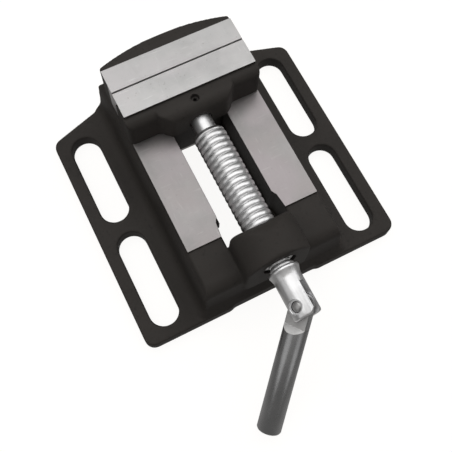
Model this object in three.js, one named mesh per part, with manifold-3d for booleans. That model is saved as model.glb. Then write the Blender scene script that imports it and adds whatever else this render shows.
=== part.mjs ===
// Three-inch drill-press vise: slotted cast base with two ground rails, a
// sliding jaw, a trapezoidal lead screw and a hinged bar handle.
// Millimetres, +Z up, +Y towards the fixed jaw. The origin is the centre of
// the underside of the whole vise with its jaws closed and its handle let down.
import * as THREE from 'three';
import { mergeVertices } from 'three/addons/utils/BufferGeometryUtils.js';
import Module from 'manifold-3d';

const wasm = await Module();
wasm.setup();

// ---- driving dimensions (drawing frame: y = 0 is the base's front edge) ----
const ORIGIN_Y = 36.64;         // drawing-frame y of the part's origin

const BASE_HW = 75;             // half width of the base plate
const BASE_T = 8;               // base plate thickness
const BASE_REAR = 140.5;        // rear edge
const SLOT_X0 = 51.5, SLOT_X1 = 67.5;
const SLOT_REAR = [71, 126.5], SLOT_FRONT = [6.7, 62.9];

const BLOCK_FRONT = 4.5;        // front face of the raised block
const RAIL_Z = 36;              // ground rail tops
const RAIL_HW = 37.3;
const RAIL_FRONT = 29.7;
const PLATFORM_Z = 34.8;        // painted platform in front of the rails
const GAP_HW = 15.8;            // half gap between the rails
const GAP_FRONT = 29.3, GAP_REAR = 112;
const LEDGE_HW = 12, LEDGE_Z = [5.5, 12], LEDGE_START = 44;
const RELIEF_HW = 18.3, RELIEF_FRONT = 23.6;   // relief beside the boss, at the rails' front ends
const KEEP_RECESS_HW = 20;

const SCREW_Z = 41.7;           // lead screw axis height
const BOSS_FRONT = 2.6, BOSS_REAR = 23.6, BOSS_CORNER = 5;
const BOSS_HW = 17.5, BOSS_TOP = 56.2;

const JAW_LINE = 116.8;         // where the closed jaws meet
const JAW_TOP = 56.7;
const JAW_HW = 37.3;
const PLATE_T = 5.7;            // jaw plates
const FIT = 0.3;                // gap kept between separate pieces
const FIX_BAND = 131.05;        // rear edge of the fixed jaw's ground top
const MOV_BAND = 101.6;         // front edge of the moving jaw's ground top
const JAW_SCREW_X = 22, JAW_SCREW_Z = 46.5;

const PITCH = 3.5, THREAD_R = 8.75, ROOT_R = 7.7, STEPS = 16;
const THREAD_Y0 = 3.8, THREAD_Y1 = 82.3;
const NOSE_R = 5.7, NOSE_END = 104;
const GROOVE_R = 3.7, GROOVE_Y = [94.5, 99.5];
const RETAIN_Y = 97;
const NECK_R = 5.8, COLLAR_R = 8.3, COLLAR_Y = [-2.0, -0.3], CONE_Y = -5.6;
const FORK_END = -25.9, FORK_ROOT = -9.8, FORK_R = 7.2, FORK_SLOT = 5.3;
const PIN_Y = -20.2, PIN_R = 2.6;
const FORK_ROLL = 46.5;           // fork slot turned from +Z towards +X, degrees
const HANDLE_DROP = 50.6;        // handle below the screw's line, degrees
const HANDLE_R = 6.3, HANDLE_L = 68, TANG_T = 4.6, TANG_L = 10.6;
const SHOULDER = 4.4;            // the tang's flats run out on a slope of this length
const TONGUE_Y = 95.9, KEEPER_Y = [97.2, 110], KEEP_SCREW_X = 6.2, KEEP_SCREW_Y = 103.6;
const TRAVEL = 60;

// ---- helpers ----
const D = Math.PI / 180;
const solid = (g) => {
  g = g.index ? g.clone() : g.clone();
  g.deleteAttribute('normal'); g.deleteAttribute('uv');
  g = mergeVertices(g, 1e-5);
  const m = new wasm.Mesh({ numProp: 3, vertProperties: new Float32Array(g.attributes.position.array),
    triVerts: new Uint32Array(g.index.array) });
  m.merge();
  return new wasm.Manifold(m);
};
const poly = (pts) => { const s = new THREE.Shape(); pts.forEach((p, i) => i ? s.lineTo(p[0], p[1]) : s.moveTo(p[0], p[1])); s.closePath(); return s; };
// corners of a polygon rounded with arcs: pts are [x, y, radius?]
const rounded = (pts, n = 4) => {
  const out = [];
  const N = pts.length;
  for (let i = 0; i < N; i++) {
    const [x, y, r] = pts[i];
    if (!r) { out.push([x, y]); continue; }
    const a = pts[(i + N - 1) % N], b = pts[(i + 1) % N];
    const u = new THREE.Vector2(a[0] - x, a[1] - y).normalize(), v = new THREE.Vector2(b[0] - x, b[1] - y).normalize();
    const ang = Math.acos(Math.max(-1, Math.min(1, u.dot(v))));
    const t = r / Math.tan(ang / 2);
    const c = u.clone().add(v).normalize().multiplyScalar(r / Math.sin(ang / 2));
    const p0 = new THREE.Vector2(u.x * t - c.x, u.y * t - c.y), p1 = new THREE.Vector2(v.x * t - c.x, v.y * t - c.y);
    const a0 = Math.atan2(p0.y, p0.x); let da = Math.atan2(p1.y, p1.x) - a0;
    while (da > Math.PI) da -= 2 * Math.PI; while (da < -Math.PI) da += 2 * Math.PI;
    for (let k = 0; k <= n; k++) { const w = a0 + da * k / n; out.push([x + c.x + r * Math.cos(w), y + c.y + r * Math.sin(w)]); }
  }
  return out;
};
const ext = (pts, depth) => new THREE.ExtrudeGeometry(poly(pts), { depth, bevelEnabled: false, steps: 1 });
// plan outline, from z0 to z1
const plan = (pts, z0, z1) => solid(ext(pts, z1 - z0).translate(0, 0, z0));
// XZ profile, from y0 to y1
const alongY = (pts, y0, y1) => solid(ext(pts, y1 - y0).rotateX(Math.PI / 2).translate(0, y1, 0));
// YZ profile, from x0 to x1
const toX = new THREE.Matrix4().makeBasis(new THREE.Vector3(0, 1, 0), new THREE.Vector3(0, 0, 1), new THREE.Vector3(1, 0, 0));
const alongX = (pts, x0, x1) => solid(ext(pts, x1 - x0).applyMatrix4(toX).translate(x0, 0, 0));
const box = (x0, x1, y0, y1, z0, z1) => solid(new THREE.BoxGeometry(x1 - x0, y1 - y0, z1 - z0).translate((x0 + x1) / 2, (y0 + y1) / 2, (z0 + z1) / 2));
// turned shape about the Y axis line through (cx, cz): profile [radius, y]
const turnedY = (prof, cx, cz, n = 32) => solid(new THREE.LatheGeometry(prof.map(([r, y]) => new THREE.Vector2(r, y)), n).translate(cx, 0, cz));
const turnedZ = (prof, cx, cy, n = 24) => solid(new THREE.LatheGeometry(prof.map(([r, z]) => new THREE.Vector2(r, z)), n).rotateX(Math.PI / 2).translate(cx, cy, 0));
const rod = (r, y0, y1, cx, cz, n = 24) => turnedY([[0, y0], [r, y0], [r, y1], [0, y1]], cx, cz, n);
const rodZ = (r, z0, z1, cx, cy, n = 24) => turnedZ([[0, z0], [r, z0], [r, z1], [0, z1]], cx, cy, n);
const hexY = (af, y0, y1, cx, cz) => rod(af / 2 / Math.cos(30 * D), y0, y1, cx, cz, 6);
const hexZ = (af, z0, z1, cx, cy) => rodZ(af / 2 / Math.cos(30 * D), z0, z1, cx, cy, 6);
const slotPlan = (x0, x1, y0, y1, n = 8) => {
  const r = (x1 - x0) / 2, cx = (x0 + x1) / 2, pts = [];
  for (let k = 0; k <= n; k++) { const a = Math.PI + Math.PI * k / n; pts.push([cx + r * Math.cos(a), y0 + r + r * Math.sin(a)]); }
  for (let k = 0; k <= n; k++) { const a = Math.PI * k / n; pts.push([cx + r * Math.cos(a), y1 - r + r * Math.sin(a)]); }
  return pts;
};
const mirrorX = (pts) => pts.map(([x, y]) => [-x, y]).reverse();
const all = (first, ...rest) => rest.reduce((a, b) => a.add(b), first);
const cut = (first, ...rest) => rest.reduce((a, b) => a.subtract(b), first);

// Right-hand trapezoidal thread about the Y axis: a grid that follows the
// helix, with the ridge standing down to the root at both ends.
const threadRod = (major, minor, halfCrest, halfRoot, y0, y1) => {
  const prof = [[-halfCrest, 1], [halfCrest, 1], [PITCH / 2 - halfRoot, 0], [PITCH / 2 + halfRoot, 0]];
  const t0 = Math.floor(y0 / PITCH) - 2, t1 = Math.ceil(y1 / PITCH) + 2;
  const J = (t1 - t0) * STEPS, pos = [], tri = [];
  const ramp = (j) => Math.max(0, Math.min(1, Math.min(j, J + STEPS - j) / STEPS - 0.001));
  for (let j = 0; j <= J + STEPS; j++) for (let k = 0; k < 4; k++) {
    const a = 2 * Math.PI * j / STEPS, r = minor + (major - minor) * prof[k][1] * ramp(j);
    pos.push(r * Math.sin(a), PITCH * (t0 + j / STEPS) + prof[k][0], r * Math.cos(a));
  }
  const id = (j, k) => k < 4 ? j * 4 + k : (j + STEPS) * 4;
  for (let j = 0; j < J; j++) for (let k = 0; k < 4; k++) {
    const a = id(j, k), b = id(j + 1, k), c = id(j + 1, k + 1), d = id(j, k + 1);
    tri.push(a, b, c, a, c, d);
  }
  // close both ends to a point on the axis
  const lo = pos.length / 3; pos.push(0, PITCH * (t0 - 1), 0);
  const hi = pos.length / 3; pos.push(0, PITCH * (t1 + 2), 0);
  for (let j = 0; j < STEPS; j++) { tri.push(lo, id(j + 1, 0), id(j, 0)); tri.push(hi, id(J + j, 0), id(J + j + 1, 0)); }
  for (let k = 0; k < 4; k++) { tri.push(lo, id(0, k), id(0, k + 1)); tri.push(hi, id(J, k + 1), id(J, k)); }
  const g = new THREE.BufferGeometry();
  g.setAttribute('position', new THREE.Float32BufferAttribute(pos, 3)); g.setIndex(tri);
  let m = solid(g);
  if (m.volume() < 0) {
    for (let i = 0; i < tri.length; i += 3) [tri[i + 1], tri[i + 2]] = [tri[i + 2], tri[i + 1]];
    g.setIndex(tri); m = solid(g);
  }
  return m;
};
const lift = (m, x, y, z) => m.translate([x, y, z]);

const group = new THREE.Group();
group.name = 'drill_press_vise';
const parts = new THREE.Group();
parts.position.set(0, -ORIGIN_Y, 0);
group.add(parts);
const paint = { color: 0x2b2826, roughness: 0.45, metalness: 0.0 };
const steel = { color: 0xb9b7b5, roughness: 0.35, metalness: 1.0 };
const zinc = { color: 0xc8c9ca, roughness: 0.28, metalness: 1.0 };
const dark = { color: 0x3a3a3c, roughness: 0.4, metalness: 1.0 };
const put = (name, m, mat) => {
  const q = m.getMesh();
  let g = new THREE.BufferGeometry();
  const v = q.vertProperties, n = q.numProp, p = new Float32Array(v.length / n * 3);
  for (let i = 0; i < v.length / n; i++) for (let k = 0; k < 3; k++) p[3 * i + k] = v[n * i + k];
  g.setAttribute('position', new THREE.BufferAttribute(p, 3));
  g.setIndex(new THREE.BufferAttribute(new Uint32Array(q.triVerts), 1));
  const mesh = new THREE.Mesh(g, new THREE.MeshStandardMaterial(mat));
  mesh.name = name; parts.add(mesh); return mesh;
};

// ================= body casting =================
const baseOutline = rounded([
  [-BASE_HW, 0, 5], [-26, 0, 4], [-21, 2.4, 4], [21, 2.4, 4], [26, 0, 4], [BASE_HW, 0, 5],
  [BASE_HW, 130, 5], [41, BASE_REAR, 6], [-41, BASE_REAR, 6], [-BASE_HW, 130, 5]], 3);
let body = plan(baseOutline, 0, BASE_T);

const blockXZ = [[-40.5, 0], [40.5, 0], [40.5, BASE_T], [39, 30], [RAIL_HW, RAIL_Z], [-RAIL_HW, RAIL_Z], [-39, 30], [-40.5, BASE_T]];
const blockYZ = rounded([[BLOCK_FRONT, 0], [141, 0], [141, 30], [137.4, RAIL_Z], [RAIL_FRONT, RAIL_Z], [RAIL_FRONT - 0.6, PLATFORM_Z], [BLOCK_FRONT, PLATFORM_Z, 5]], 4);
const blockPlan = rounded([[-40.5, BLOCK_FRONT, 6], [40.5, BLOCK_FRONT, 6], [40.5, 141, 5], [-40.5, 141, 5]], 4);
const block = alongY(blockXZ, BLOCK_FRONT, 141).intersect(alongX(blockYZ, -41, 41)).intersect(plan(blockPlan, 0, 37));

// boss round the screw, with a domed top and rounded rear edge
const bossArc = []; for (let k = 0; k <= 14; k++) { const a = Math.PI * k / 14; bossArc.push([BOSS_HW * Math.cos(a), SCREW_Z + (BOSS_TOP - SCREW_Z) * Math.sin(a)]); }
const bossXZ = [[BOSS_HW + 1.2, 20], ...bossArc, [-BOSS_HW - 1.2, 20]];
const bossYZ = rounded([[BOSS_FRONT, 10], [BOSS_REAR + 1.6, 10], [BOSS_REAR + 1.0, 34], [BOSS_REAR - 0.4, BOSS_TOP, 9.5], [BOSS_FRONT, BOSS_TOP, 2]], 6);
const bossPlan = rounded([[-BOSS_HW - 1.2, BOSS_FRONT, 3], [BOSS_HW + 1.2, BOSS_FRONT, 3], [BOSS_HW + 1.2, BOSS_REAR + 1.4, BOSS_CORNER], [-BOSS_HW - 1.2, BOSS_REAR + 1.4, BOSS_CORNER]], 7);
const boss = alongY(bossXZ, 1, 30).intersect(alongX(bossYZ, -20, 20)).intersect(plan(bossPlan, 5, 60));

// fixed jaw wall with its ground top and arced back
const FIX_FACE = JAW_LINE + 0.15 + PLATE_T + FIT;
const jawBack = [];
for (let k = 0; k <= 10; k++) { const x = JAW_HW * (1 - k / 5); jawBack.push([x, 139.1 - 5.6 * Math.pow(Math.abs(x) / JAW_HW, 2.1)]); }
const fixedJaw = plan([[-JAW_HW, FIX_FACE], [JAW_HW, FIX_FACE], ...jawBack], 20, JAW_TOP)
  .intersect(alongX(rounded([[FIX_FACE, 10], [145, 10], [145, 40], [139.1, 55.9, 3], [FIX_BAND, JAW_TOP - 0.3], [FIX_BAND, JAW_TOP], [FIX_FACE, JAW_TOP]], 3), -40, 40));

body = all(body, block, boss, fixedJaw);

// gap between the rails, with the boss standing into its front end; ledges
// that hold the keeper, cut back at the front, and the keeper's recess
const bossCore = plan(bossPlan, -2, 70);
const reliefPlan = [[-GAP_HW + 0.4, 42], [-GAP_HW, 40.5], [-17.4, 37.6], [-RELIEF_HW, RAIL_FRONT], [-RELIEF_HW, RELIEF_FRONT],
  [RELIEF_HW, RELIEF_FRONT], [RELIEF_HW, RAIL_FRONT], [17.4, 37.6], [GAP_HW, 40.5], [GAP_HW - 0.4, 42]];
body = cut(body,
  plan([[-GAP_HW, 40.5], [GAP_HW, 40.5], [GAP_HW, GAP_REAR], [-GAP_HW, GAP_REAR]], LEDGE_Z[1], 60),
  plan(reliefPlan, LEDGE_Z[1], 60).subtract(bossCore),
  alongY([[-14.4, LEDGE_Z[1] + 0.5], [-13, LEDGE_Z[0] - 0.5], [13, LEDGE_Z[0] - 0.5], [14.4, LEDGE_Z[1] + 0.5]], RELIEF_FRONT + 1, LEDGE_START).subtract(bossCore),
  plan([[-LEDGE_HW, GAP_FRONT], [LEDGE_HW, GAP_FRONT], [LEDGE_HW, GAP_REAR], [-LEDGE_HW, GAP_REAR]], -1, 20),
  plan([[-KEEP_RECESS_HW, GAP_FRONT], [KEEP_RECESS_HW, GAP_FRONT], [KEEP_RECESS_HW, GAP_REAR], [-KEEP_RECESS_HW, GAP_REAR]], -1, LEDGE_Z[0]));
// mounting slots
for (const [y0, y1] of [SLOT_REAR, SLOT_FRONT]) for (const s of [1, -1]) {
  const p = slotPlan(SLOT_X0, SLOT_X1, y0, y1);
  body = body.subtract(plan(s > 0 ? p : mirrorX(p), -1, 20));
}
// hollows under the rails, the boss and the fixed jaw
for (const s of [1, -1]) {
  const r = rounded([[23.5, 34, 2], [34.5, 34, 2], [34.5, 106, 2], [23.5, 106, 2]], 2);
  body = body.subtract(plan(s > 0 ? r : mirrorX(r), -1, 28));
}
body = cut(body,
  plan(rounded([[-33, 10.5, 2], [33, 10.5, 2], [33, 20.5, 2], [-33, 20.5, 2]], 2), -1, 26),
  plan(rounded([[-33, 118, 2], [33, 118, 2], [33, 134.5, 2], [-33, 134.5, 2]], 2), -1, 29));
// tapped hole for the lead screw, with lead-in chamfers
const tap = lift(threadRod(THREAD_R + 0.5, ROOT_R + 0.5, 1.18, 0.12, -3, 33), 0, 0, SCREW_Z)
  .intersect(box(-12, 12, BOSS_FRONT + 0.9, BOSS_REAR - 1.9, SCREW_Z - 12, SCREW_Z + 12));
body = cut(body, all(tap,
  turnedY([[0, BOSS_FRONT - 2], [THREAD_R + 1.2, BOSS_FRONT - 2], [THREAD_R + 1.2, BOSS_FRONT + 0.2], [THREAD_R + 0.7, BOSS_FRONT + 1], [0, BOSS_FRONT + 1]], 0, SCREW_Z, 24),
  turnedY([[0, BOSS_REAR - 2], [THREAD_R + 0.7, BOSS_REAR - 2], [THREAD_R + 1.1, BOSS_REAR - 1], [THREAD_R + 1.1, BOSS_REAR + 6], [0, BOSS_REAR + 6]], 0, SCREW_Z, 24)));
// tapped holes for the jaw plate screws
for (const s of [1, -1]) body = body.subtract(rod(2.8, FIX_FACE - 1, FIX_FACE + 9.5, s * JAW_SCREW_X, JAW_SCREW_Z, 12));
put('vise_body', body, paint);

// ================= jaw plates and their screws =================
const jawPlate = (yFace, dir) => { // dir +1: plate lies behind its face
  const y0 = Math.min(yFace, yFace + dir * PLATE_T), y1 = y0 + PLATE_T;
  let m = box(-JAW_HW, JAW_HW, y0, y1, RAIL_Z + 0.4, JAW_TOP);
  for (const s of [1, -1]) m = m.subtract(turnedY(dir > 0
    ? [[0, y0 - 1], [5.2, y0 - 1], [5.2, y0 + 0.4], [2.9, y0 + 2.9], [2.9, y1 + 1], [0, y1 + 1]]
    : [[0, y0 - 1], [2.9, y0 - 1], [2.9, y1 - 2.9], [5.2, y1 - 0.4], [5.2, y1 + 1], [0, y1 + 1]], s * JAW_SCREW_X, JAW_SCREW_Z, 20));
  return m;
};
const jawScrew = (yFace, dir, x) => { // countersunk, hexagon socket
  const f = yFace + dir * 0.35, q = (r, t) => [r, f + dir * t];
  const prof = [q(0, 0), q(4.8, 0), q(4.8, 0.3), q(2.5, 2.75), q(2.5, 13.5), q(0, 13.5)];
  if (dir < 0) prof.reverse();
  const m = turnedY(prof, x, JAW_SCREW_Z, 20);
  return m.subtract(hexY(3, f - 2, f + 2, x, JAW_SCREW_Z));
};
const FIX_PL = JAW_LINE + 0.15, MOV_PL = JAW_LINE - 0.15;
put('fixed_jaw_plate', jawPlate(FIX_PL, 1), steel);
put('fixed_jaw_plate_screw_left', jawScrew(FIX_PL, 1, -JAW_SCREW_X), dark);
put('fixed_jaw_plate_screw_right', jawScrew(FIX_PL, 1, JAW_SCREW_X), dark);

// ================= moving jaw =================
const MOV_FACE = MOV_PL - PLATE_T - FIT;
const hubPlan = rounded([[-38, 95.7, 2], [-21, 95.7, 2], [-19.5, 92.8, 3], [-15.6, 90.4, 4], [15.6, 90.4, 4], [19.5, 92.8, 3], [21, 95.7, 2], [38, 95.7, 2], [38, MOV_FACE], [-38, MOV_FACE]], 3);
let mov = plan(hubPlan, RAIL_Z + 0.3, 55)
  .intersect(alongX(rounded([[89, 20], [120, 20], [120, 55], [90.5, 55, 4.5], [89, 46]], 4), -40, 40))
  .intersect(all(box(-16, 16, 80, 120, 20, 60), alongX(rounded([[90.4, 20], [120, 20], [120, 55], [93.4, 55, 4.5]], 4), -21.5, 21.5),
    alongX(rounded([[95.7, 20], [120, 20], [120, 55], [95.7, 55, 4.5]], 4), -40, 40)));
mov = mov.add(box(-JAW_HW, JAW_HW, MOV_BAND, MOV_FACE, 50, JAW_TOP));
// tongue between the rails
mov = all(mov, box(-15.3, 15.3, TONGUE_Y, 110.2, LEDGE_Z[1] + 0.4, 37), box(-11.5, 11.5, TONGUE_Y, 110.2, 5.6, 20));
mov = cut(mov,
  turnedY([[0, 80], [NOSE_R + 0.5, 80], [NOSE_R + 0.5, NOSE_END + 0.6], [0, NOSE_END + 2.5]], 0, SCREW_Z, 24),
  rodZ(2.35, SCREW_Z, 60, 0, RETAIN_Y, 16));
for (const s of [1, -1]) mov = mov.subtract(rod(2.8, MOV_FACE - 8.5, MOV_FACE + 1, s * JAW_SCREW_X, JAW_SCREW_Z, 12));
for (const s of [1, -1]) mov = mov.subtract(rodZ(2.3, 4, 16.5, s * KEEP_SCREW_X, KEEP_SCREW_Y, 12));
put('moving_jaw', mov, paint);
put('moving_jaw_plate', jawPlate(MOV_PL, -1), steel);
put('moving_jaw_plate_screw_left', jawScrew(MOV_PL, -1, -JAW_SCREW_X), dark);
put('moving_jaw_plate_screw_right', jawScrew(MOV_PL, -1, JAW_SCREW_X), dark);

// keeper plate under the ledges, held to the tongue by two screws
let keeper = plan(rounded([[-18, KEEPER_Y[0], 1.5], [18, KEEPER_Y[0], 1.5], [18, KEEPER_Y[1], 1.5], [-18, KEEPER_Y[1], 1.5]], 2), 0.9, 5.2);
for (const s of [1, -1]) keeper = cut(keeper, rodZ(2.35, -1, 8, s * KEEP_SCREW_X, KEEP_SCREW_Y, 12), rodZ(3.9, -1, 3.6, s * KEEP_SCREW_X, KEEP_SCREW_Y, 16));
put('keeper_plate', keeper, steel);
const keeperScrew = (x) => cut(all(rodZ(3.5, 1.1, 2.6, x, KEEP_SCREW_Y, 16), rodZ(2.0, 2.4, 15.5, x, KEEP_SCREW_Y, 12)), hexZ(2.5, 0, 2.1, x, KEEP_SCREW_Y));
put('keeper_screw_left', keeperScrew(-KEEP_SCREW_X), dark);
put('keeper_screw_right', keeperScrew(KEEP_SCREW_X), dark);
// split spring washers between screw head and plate
const washer = (x) => {
  const prof = [[2.25, 2.75], [3.55, 2.75], [3.55, 3.4], [2.25, 3.4], [2.25, 2.75]];
  return turnedZ(prof, x, KEEP_SCREW_Y, 20).subtract(box(x + 2, x + 4, KEEP_SCREW_Y - 0.35, KEEP_SCREW_Y + 0.35, 2, 4));
};
put('keeper_washer_left', washer(-KEEP_SCREW_X), dark);
put('keeper_washer_right', washer(KEEP_SCREW_X), dark);
// set screw that holds the lead screw's nose in the jaw
put('nose_set_screw', turnedZ([[0, SCREW_Z + 4.2], [1.5, SCREW_Z + 4.2], [2, SCREW_Z + 5], [2, 53.2], [0, 53.2]], 0, RETAIN_Y, 16)
  .subtract(hexZ(1.8, 51.2, 56, 0, RETAIN_Y)), dark);

// ================= lead screw =================
let screw = lift(threadRod(THREAD_R, ROOT_R, 0.95, 0.35, THREAD_Y0, THREAD_Y1), 0, 0, SCREW_Z)
  .intersect(turnedY([[0, THREAD_Y0], [ROOT_R + 0.15, THREAD_Y0], [THREAD_R + 0.3, THREAD_Y0 + 1.6], [THREAD_R + 0.3, THREAD_Y1 - 1.6], [ROOT_R + 0.1, THREAD_Y1], [0, THREAD_Y1]], 0, SCREW_Z, 32));
screw = screw.add(turnedY([[0, CONE_Y - 0.4], [FORK_R, CONE_Y - 0.4], [FORK_R, CONE_Y], [COLLAR_R - 0.3, COLLAR_Y[0]], [COLLAR_R, COLLAR_Y[0] + 0.5],
  [COLLAR_R, COLLAR_Y[1] - 0.5], [COLLAR_R - 0.6, COLLAR_Y[1]], [NECK_R, COLLAR_Y[1] + 0.2], [NECK_R, THREAD_Y0 + 0.3], [0, THREAD_Y0 + 0.3]], 0, SCREW_Z, 32));
screw = screw.add(turnedY([[0, THREAD_Y1 - 0.4], [NOSE_R, THREAD_Y1 - 0.4], [NOSE_R, GROOVE_Y[0]], [GROOVE_R, GROOVE_Y[0]], [GROOVE_R, GROOVE_Y[1]],
  [NOSE_R, GROOVE_Y[1]], [NOSE_R, NOSE_END - 1], [NOSE_R - 1, NOSE_END], [0, NOSE_END]], 0, SCREW_Z, 24));
// fork for the handle
const rollZ = (m) => m.translate([0, 0, -SCREW_Z]).rotate([0, FORK_ROLL, 0]).translate([0, 0, SCREW_Z]);
let fork = turnedY([[0, FORK_END], [FORK_R - 1, FORK_END], [FORK_R, FORK_END + 1], [FORK_R, CONE_Y], [0, CONE_Y]], 0, SCREW_Z, 32);
// prong ends rounded about the pin
const LOBE_R = 8;
const endArc = []; for (let k = 0; k <= 12; k++) { const a = Math.PI / 2 + Math.PI * k / 12; endArc.push([PIN_Y + LOBE_R * Math.cos(a), SCREW_Z + LOBE_R * Math.sin(a)]); }
const forkEnd = rollZ(alongX([[1, SCREW_Z - LOBE_R], [1, SCREW_Z + LOBE_R], ...endArc], -9, 9));
fork = fork.intersect(forkEnd.add(box(-9, 9, PIN_Y + 2, 1, SCREW_Z - 9, SCREW_Z + 9)));
const forkSlot = rollZ(box(-FORK_SLOT / 2, FORK_SLOT / 2, FORK_END - 3, FORK_ROOT, SCREW_Z - 12, SCREW_Z + 12));
const pinHole = rollZ(solid(new THREE.CylinderGeometry(PIN_R + 0.3, PIN_R + 0.3, 24, 20).rotateZ(Math.PI / 2).translate(0, PIN_Y, SCREW_Z)));
screw = cut(screw.add(fork), forkSlot, pinHole);
put('lead_screw', screw, zinc);

// ================= handle =================
// rivet pin with flush peened ends
const pinProf = [[0, -6.9], [1.6, -6.9], [PIN_R, -6.5], [PIN_R, 6.5], [1.6, 6.9], [0, 6.9]].map(([r, y]) => new THREE.Vector2(r, y));
put('handle_pin', rollZ(solid(new THREE.LatheGeometry(pinProf, 20).rotateZ(Math.PI / 2).translate(0, PIN_Y, SCREW_Z))), zinc);

// bar along -Y from the pin, then dropped about the pin and rolled with the fork
let bar = turnedY([[0, -HANDLE_L], [HANDLE_R - 0.8, -HANDLE_L], [HANDLE_R, -HANDLE_L + 0.8], [HANDLE_R, 7], [0, 7]], 0, 0, 32);
const tangArc = []; for (let k = 0; k <= 12; k++) { const a = -Math.PI / 2 + Math.PI * k / 12; tangArc.push([6 * Math.cos(a), 6 * Math.sin(a)]); }
const tang = alongX([[-TANG_L - 1, -6], ...tangArc, [-TANG_L - 1, 6]], -TANG_T / 2, TANG_T / 2);
const run = (9 - TANG_T / 2) * SHOULDER / (HANDLE_R - TANG_T / 2);
bar = bar.intersect(all(plan([[-9, -HANDLE_L - 1], [9, -HANDLE_L - 1], [9, -TANG_L - run], [TANG_T / 2, -TANG_L], [-TANG_T / 2, -TANG_L], [-9, -TANG_L - run]], -9, 9), tang));
bar = bar.subtract(solid(new THREE.CylinderGeometry(PIN_R + 0.3, PIN_R + 0.3, 12, 20).rotateZ(Math.PI / 2)));
bar = bar.rotate([HANDLE_DROP, 0, 0]).translate([0, PIN_Y, SCREW_Z]);
put('handle_bar', rollZ(bar), steel);

export { TRAVEL };
export default group;
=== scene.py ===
import bpy, bmesh, math
import numpy as np
from mathutils import Matrix, Vector


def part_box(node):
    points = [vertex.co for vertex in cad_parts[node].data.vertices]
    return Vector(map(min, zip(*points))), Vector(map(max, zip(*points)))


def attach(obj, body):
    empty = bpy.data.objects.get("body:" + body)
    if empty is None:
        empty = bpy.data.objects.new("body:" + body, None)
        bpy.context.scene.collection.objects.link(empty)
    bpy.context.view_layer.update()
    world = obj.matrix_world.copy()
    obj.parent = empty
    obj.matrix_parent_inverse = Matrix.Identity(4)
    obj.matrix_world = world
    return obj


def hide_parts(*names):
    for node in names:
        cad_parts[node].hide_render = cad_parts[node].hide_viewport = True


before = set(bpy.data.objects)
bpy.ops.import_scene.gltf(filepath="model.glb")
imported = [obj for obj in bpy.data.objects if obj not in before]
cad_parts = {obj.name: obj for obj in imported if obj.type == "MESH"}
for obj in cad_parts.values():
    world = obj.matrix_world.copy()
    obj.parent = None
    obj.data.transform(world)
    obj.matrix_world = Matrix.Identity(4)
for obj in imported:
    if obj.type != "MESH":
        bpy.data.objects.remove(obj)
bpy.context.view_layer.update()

# ---------------------------------------------------------------------------
# Shapes are built in millimetres in the drawing frame (y = 0 at the base's
# front edge) and moved into the row frame when a piece is finished.
# ---------------------------------------------------------------------------
OY = -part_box("vise_body")[0].y * 1000.0
SZ = 41.7            # lead screw axis height
PIN_Y = -20.2
ROLL = math.radians(46.5)
DROP = math.radians(50.6)
PITCH = 3.5
FIX_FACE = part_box("fixed_jaw_plate")[1].y * 1000 + OY     # back of the fixed plate
MOV_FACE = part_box("moving_jaw_plate")[0].y * 1000 + OY    # back of the moving plate
JAW_TOP = 56.7
coll = bpy.context.scene.collection


def mk(name, verts, faces):
    me = bpy.data.meshes.new(name)
    me.from_pydata([tuple(v) for v in verts], [], [tuple(f) for f in faces])
    bm = bmesh.new(); bm.from_mesh(me)
    bmesh.ops.remove_doubles(bm, verts=bm.verts, dist=1e-5)
    bmesh.ops.recalc_face_normals(bm, faces=bm.faces)
    bm.to_mesh(me); bm.free()
    o = bpy.data.objects.new(name, me)
    coll.objects.link(o)
    return o


def drop(o):
    me = o.data
    bpy.data.objects.remove(o)
    if me.users == 0:
        bpy.data.meshes.remove(me)


def apply_mods(o):
    dg = bpy.context.evaluated_depsgraph_get()
    me = bpy.data.meshes.new_from_object(o.evaluated_get(dg))
    o.modifiers.clear()
    old = o.data
    o.data = me
    if old.users == 0:
        bpy.data.meshes.remove(old)
    return o


def boolean(a, b, op, solver="MANIFOLD", keep=False):
    m = a.modifiers.new("b", "BOOLEAN")
    m.object = b; m.operation = op; m.solver = solver
    apply_mods(a)
    if not keep:
        drop(b)
    return a


def add(a, *bs):
    for b in bs: boolean(a, b, "UNION")
    return a


def cut(a, *bs):
    for b in bs: boolean(a, b, "DIFFERENCE")
    return a


def meet(a, *bs):
    for b in bs: boolean(a, b, "INTERSECT")
    return a


def prism(pts, a, b, axis="Z", name="prism"):
    f = {"Z": lambda u, v, w: (u, v, w), "Y": lambda u, v, w: (u, w, v), "X": lambda u, v, w: (w, u, v)}[axis]
    n = len(pts)
    vs = [f(u, v, a) for u, v in pts] + [f(u, v, b) for u, v in pts]
    fs = [list(range(n))[::-1], list(range(n, 2 * n))] + [[i, (i + 1) % n, n + (i + 1) % n, n + i] for i in range(n)]
    return mk(name, vs, fs)


def box(x0, x1, y0, y1, z0, z1):
    return prism([(x0, y0), (x1, y0), (x1, y1), (x0, y1)], z0, z1)


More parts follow.
